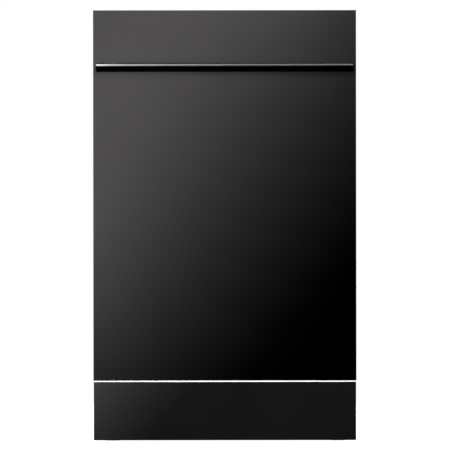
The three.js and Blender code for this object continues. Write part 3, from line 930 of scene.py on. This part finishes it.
def salt_lid():
    """A round lid with a scalloped rim and a raised bar to turn it by."""
    x, y = SALT_AT
    bm = bmesh.new()
    outline = []
    points = 144
    for step in range(points):
        angle = math.tau * step / points
        radius = 0.037 + 0.0009 * math.cos(24 * angle)
        outline.append((x + radius * math.cos(angle), y + radius * math.sin(angle)))
    prism(bm, outline, lambda u, v, w: (u, v, w), 0.1781, 0.1862)
    turned(bm, [(0.0005, 0.186), (0.034, 0.186), (0.0335, 0.1871), (0.028, 0.1871), (0.0272, 0.1866),
                (0.0005, 0.1866)], (x, y, 0), "Z", 48)
    piece("salt_lid", bm, "white_plastic", "salt_cap", ["salt_cap"])
    bm = bmesh.new()
    outline = [(-0.026, 0.1862), (0.026, 0.1862), (0.0265, 0.19), (0.022, 0.1938), (-0.022, 0.1938),
               (-0.0265, 0.19)]
    prism(bm, outline, along_y(1, x), y - 0.0038, y + 0.0038)
    piece("salt_lid_bar", bm, "white_plastic", "salt_cap", edge=0.0014, segments=3)


def tub_floor_details():
    """Pressed rings round the sump and the salt lid, and the rounded corners along the tub's sides."""
    bm = bmesh.new()
    for centre, radius in ((SUMP_AT, 0.083), (SUMP_AT, 0.094), (SALT_AT, 0.045)):
        arc = [(radius + 0.0025 * math.cos(t), 0.1776 + 0.0011 * math.sin(t)) for t in spaced(0, math.pi, 7)]
        turned(bm, arc, (*centre, 0), "Z", 72)
    piece("floor_rings", bm, "stainless", "carcass")
    bm = bmesh.new()
    wall, inner, bottom, top, bend = 0.2399, 0.2317, 0.1778, 0.1862, 0.0082
    corner = [(wall, bottom), (wall, top)]
    for t in spaced(0, math.pi / 2, 7)[1:-1]:
        corner.append((inner + bend * math.cos(t), top - bend * math.sin(t)))
    corner.append((inner, bottom))
    for side in (-1, 1):
        prism(bm, corner, along_y(side), -0.218, 0.2345)
    piece("floor_corners", bm, "stainless", "carcass")


REAR_HALF, REAR_LOW, REAR_HIGH = 0.2398, 0.178, 0.8458


def tub_rear_wall():
    """The tub's back, pressed outward in a large field with rounded corners and two beads."""
    xs, zs = spaced(-REAR_HALF, REAR_HALF, 45), spaced(REAR_LOW, REAR_HIGH, 61)
    bm = bmesh.new()
    skin(bm, [[bm.verts.new((x, 0.2357 + rear_relief(x, z), z)) for x in xs] for z in zs])
    sheet(piece("tub_rear_wall", bm, "stainless", "carcass", ["tub_back"]), 0.0008, 1)


def rear_relief(x, z):
    """How far the back stands out: a field, less two beads."""
    border = min(REAR_HALF - abs(x) - 0.03, z - REAR_LOW - 0.05, REAR_HIGH - z - 0.06)
    field = smooth(border / 0.016)
    rib = max(0.0, 1 - (abs(abs(x) - 0.11) / 0.014) ** 2) * smooth((border - 0.03) / 0.02)
    return 0.004 * field - 0.0025 * rib


def smooth(value):
    """Eases from 0 to 1."""
    value = min(max(value, 0), 1)
    return value * value * (3 - 2 * value)


# ---------- dispenser and controls ----------
def dispenser_details():
    bm = bmesh.new()
    for z in spaced(0.512, 0.588, 9):
        box_in(bm, (-0.07, -0.2204, z - 0.001), (-0.02, -0.2197, z + 0.001))
    piece("lid_ribs", bm, "grey_plastic", "detergent_lid", edge=0.0003)
    bm = bmesh.new()
    box_in(bm, (-0.0938, -0.2228, 0.53), (-0.0862, -0.2208, 0.57))
    piece("lid_release", bm, "grey_plastic", "door", edge=0.0009, segments=3)
    bm = bmesh.new()
    disc(bm, 0.006, -0.2228, -0.2216, (0.07, 0, 0.622), "Y", 24)
    piece("rinse_aid_window", bm, "black_gloss", "door")
    bm = bmesh.new()
    for x, z in ((-0.085, 0.49), (0.085, 0.49), (-0.085, 0.63), (0.085, 0.63)):
        disc(bm, 0.0035, -0.2228, -0.2214, (x, 0, z), "Y", 20)
    piece("dispenser_screws", bm, "zinc_steel", "door")


def control_window():
    """A dark glossy window in the door's top edge with three small lamps; it shows nothing."""
    bm = bmesh.new()
    box_in(bm, (-0.09, -0.2515, 0.8951), (0.09, -0.2365, 0.8959))
    piece("display_window", bm, "black_gloss", "door", edge=0.0003)
    bm = bmesh.new()
    for x in (-0.180, 0.13, 0.175):
        disc(bm, 0.0016, 0.8951, 0.8958, (x, -0.244, 0), "Z", 16, edge=0.0002)
    piece("status_lamps", bm, "white_plastic", "door")


# ---------- feet, springs, fittings ----------
def levelling_feet():
    pitch = 0.002
    thread = [(0.0008, 0.0155)]
    for k in range(22):
        z = 0.016 + pitch * k
        thread += [(0.0047, z), (0.0054, z + pitch / 2)]
    thread.append((0.0008, 0.0598))
    for name, x, y in FEET:
        bm = bmesh.new()
        turned(bm, [(0.0008, 0.0), (0.0165, 0.0), (0.018, 0.0015), (0.018, 0.004), (0.0165, 0.0062),
                    (0.009, 0.0085), (0.0008, 0.0085)], (x, y, 0), "Z", 40)
        turned(bm, [(0.004, 0.008), (0.0098, 0.008), (0.0104, 0.0088), (0.0104, 0.0152), (0.0098, 0.016),
                    (0.004, 0.016)], (x, y, 0), "Z", 6)
        piece(name + "_pad", bm, "grey_plastic", name, [name])
        bm = bmesh.new()
        turned(bm, thread, (x, y, 0), "Z", 20)
        piece(name + "_thread", bm, "zinc_steel", name)


def door_springs():
    """Coils between the base and the tails of the hinge arms; the real springs stretch as the door opens,
    these are fixed meshes.
    """
    y, low, high, radius, turns, steps = -0.2255, 0.036, 0.116, 0.0029, 26, 10
    for side, word in SIDES:
        x = side * 0.2565
        points = [(x, y, 0.0325), (x, y, low - 0.001)]
        for k in range(turns * steps + 1):
            angle = math.tau * k / steps
            z = low + (high - low) * k / (turns * steps)
            points.append((x + radius * math.cos(angle), y + radius * math.sin(angle), z))
        points += [(x, y, high + 0.001), (x, y, 0.1212)]
        name = f"door_spring_{word}"
        coil = wires(name + "_coil", [(points, False)], 0.0007, "carcass", material="zinc_steel")
        bpy.context.view_layer.update()
        mesh = bpy.data.meshes.new_from_object(coil.evaluated_get(bpy.context.evaluated_depsgraph_get()))
        bpy.data.objects.remove(coil)
        spring = bpy.data.objects.new(name + "_coil", mesh)
        bpy.context.scene.collection.objects.link(spring)
        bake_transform(spring)
        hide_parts(name)


def hinge_rivets():
    head = [(0.0006, 0.2578), (0.004, 0.2578), (0.0034, 0.2592), (0.0018, 0.2598), (0.0006, 0.26)]
    for side, word in SIDES:
        bm = bmesh.new()
        for z in (0.2, 0.26, 0.32):
            turned(bm, [(r, side * h) for r, h in head], (0, -0.2515, z), "X", 18)
        piece(f"hinge_rivets_{word}", bm, "zinc_steel", "door")


def connections():
    """The thread of the water inlet and the barbs of the drain spigot."""
    bm = bmesh.new()
    pitch = 0.0022
    profile = [(0.0075, 0.284), (0.0118, 0.284)]
    for k in range(6):
        y = 0.2855 + pitch * k
        profile += [(0.0118, y), (0.0129, y + pitch / 2)]
    profile += [(0.0118, 0.2995), (0.0075, 0.2999)]
    turned(bm, profile, (-0.21, 0, 0.11), "Y", 32)
    piece("inlet_thread", bm, "white_plastic", "carcass")
    bm = bmesh.new()
    for y in (0.2868, 0.2908, 0.2948):
        barb = [(0.0098, y), (0.0117, y), (0.0104, y + 0.0034), (0.0098, y + 0.0034)]
        turned(bm, barb, (-0.15, 0, 0.11), "Y", 32)
    piece("spigot_barbs", bm, "black_plastic", "carcass")


def panel_screws():
    rear_head = [(0.0006, 0.2848), (0.0045, 0.2848), (0.0045, 0.2862), (0.0034, 0.2874), (0.0006, 0.2876)]
    side_head = [(0.0006, 0.2706), (0.0042, 0.2706), (0.0038, 0.2718), (0.0006, 0.2722)]
    bm = bmesh.new()
    for x in (-0.255, 0.255):
        for z in (0.1, 0.33, 0.6, 0.85):
            turned(bm, rear_head, (x, 0, z), "Y", 20)
    for side in (-1, 1):
        for y in (-0.205, 0.27):
            for z in (0.06, 0.45, 0.85):
                turned(bm, [(r, side * h) for r, h in side_head], (0, y, z), "X", 20)
    piece("panel_screws", bm, "zinc_steel", "carcass")


def louvre(bm, x, z, half):
    """A pressed slot cover: a lip that stands out at its lower edge, closed at both ends."""
    outline = [(0.285, z - 0.006), (0.2874, z - 0.0052), (0.2878, z - 0.004), (0.2852, z + 0.005),
               (0.285, z + 0.005)]
    prism(bm, outline, along_x(), x - half, x + half)


def rear_details():
    """Louvres, long pressed ribs and a terminal cover on the back."""
    bm = bmesh.new()
    for x in (-0.14, 0, 0.14):
        for z in spaced(0.72, 0.82, 6):
            louvre(bm, x, z, 0.045)
    piece("rear_louvres", bm, "galvanised", "carcass")
    bm = bmesh.new()
    for x in (-0.19, -0.065, 0.065, 0.19):
        ridge(bm, (x, 0.2849, 0.17), (x, 0.2849, 0.67), 0.012, 0.0022, Vector((0, 1, 0)))
    piece("rear_ribs", bm, "galvanised", "carcass")
    bm = bmesh.new()
    box_in(bm, (0.13, 0.2825, 0.084), (0.22, 0.2965, 0.136))
    piece("terminal_cover", bm, "black_plastic", "carcass", edge=0.004, segments=4)
    bm = bmesh.new()
    for x in (0.14, 0.21):
        disc(bm, 0.0035, 0.2962, 0.2978, (x, 0, 0.126), "Y", 18)
    gland = [(0.004, 0.2962), (0.0085, 0.2962), (0.0075, 0.2992), (0.004, 0.2992)]
    turned(bm, gland, (0.175, 0, 0.102), "Y")
    piece("terminal_fittings", bm, "zinc_steel", "carcass")


def ridge(bm, start, end, width, height, out):
    """A long pressed rib: a low arched bar from start to end with rounded ends, on a flat sheet."""
    start, end = Vector(start), Vector(end)
    along = (end - start).normalized()
    across = along.cross(out)
    length = (end - start).length
    cuts = [(width * t, math.sqrt(1 - (1 - t) ** 2)) for t in (0.0, 0.15, 0.4, 0.75, 1.0)]
    cuts += [(length - distance, share) for distance, share in reversed(cuts)]
    rings = []
    for distance, share in cuts:
        share = max(share, 0.02)
        arc = []
        for angle in spaced(0, math.pi, 9):
            side = across * (width / 2 * share * math.cos(angle))
            rise = out * (height * share * math.sin(angle))
            arc.append(bm.verts.new(start + along * distance + side + rise))
        rings.append(arc)
    skin(bm, rings, ring=True)
    bm.faces.new(rings[0])
    bm.faces.new(rings[-1])


def top_details():
    """Ribs pressed in the top plate."""
    bm = bmesh.new()
    for x in spaced(-0.2, 0.2, 5):
        ridge(bm, (x, -0.14, 0.8737), (x, 0.25, 0.8737), 0.014, 0.0024, Vector((0, 0, 1)))
    piece("top_ribs", bm, "galvanised", "carcass")


# ---------- assembly ----------
make_camera()
make_world()
make_lights()
make_floor()
make_materials()
dress_nodes()
soften_nodes()

upper_rack()
lower_rack()
folding_tines()
rack_wheels()
cup_shelf()
cutlery_tray()
spray_arm("lower_spray_arm", 0.188, 0.04, 0.2, 0.212, 0.026, 0.0066)
spray_arm("middle_spray_arm", 0.188, 0.036, 0.476, 0.488, 0.022, 0.0062)
spray_arm("top_spray_arm", 0.094, 0.028, 0.8232, 0.8306, 0.016, 0.0046)
tub_shell()
door_liner()
door_gasket()
flat_filter_plate()
dispenser_details()
control_window()
levelling_feet()
door_springs()
hinge_rivets()
connections()
panel_screws()
rear_details()
top_details()
filter_grip()
salt_lid()
tub_floor_details()
tub_rear_wall()

bpy.context.scene.view_settings.view_transform = "Standard"
